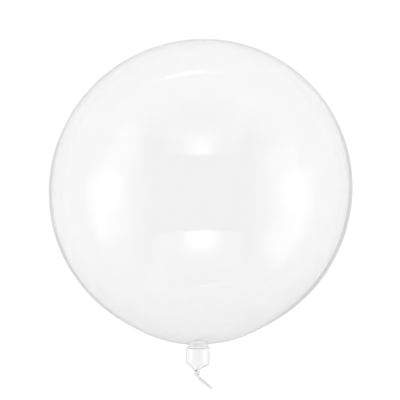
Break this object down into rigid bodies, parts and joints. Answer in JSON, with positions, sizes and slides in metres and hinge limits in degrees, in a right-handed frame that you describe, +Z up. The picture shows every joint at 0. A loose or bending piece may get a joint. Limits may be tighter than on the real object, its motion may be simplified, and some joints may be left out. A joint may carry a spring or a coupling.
{
  "type": "clear bubble balloon",
  "caption": "Round clear bubble balloon of stretched plastic film, blown up, its short filling neck gathered and knotted, lying on its side.",
  "frame": {"origin": "middle of the flat spot under the ball, where it rests", "axes": "+Z up from the resting spot, -Y from the ball along the neck to the knot and tail, +X to the side that the tail bends to"},
  "size_m": [0.401, 0.4644, 0.3983],
  "materials": {
    "film": "clear, smooth and glossy"
  },
  "bodies": {
    "root": {"balloon": "film"}
  },
  "joints": []
}
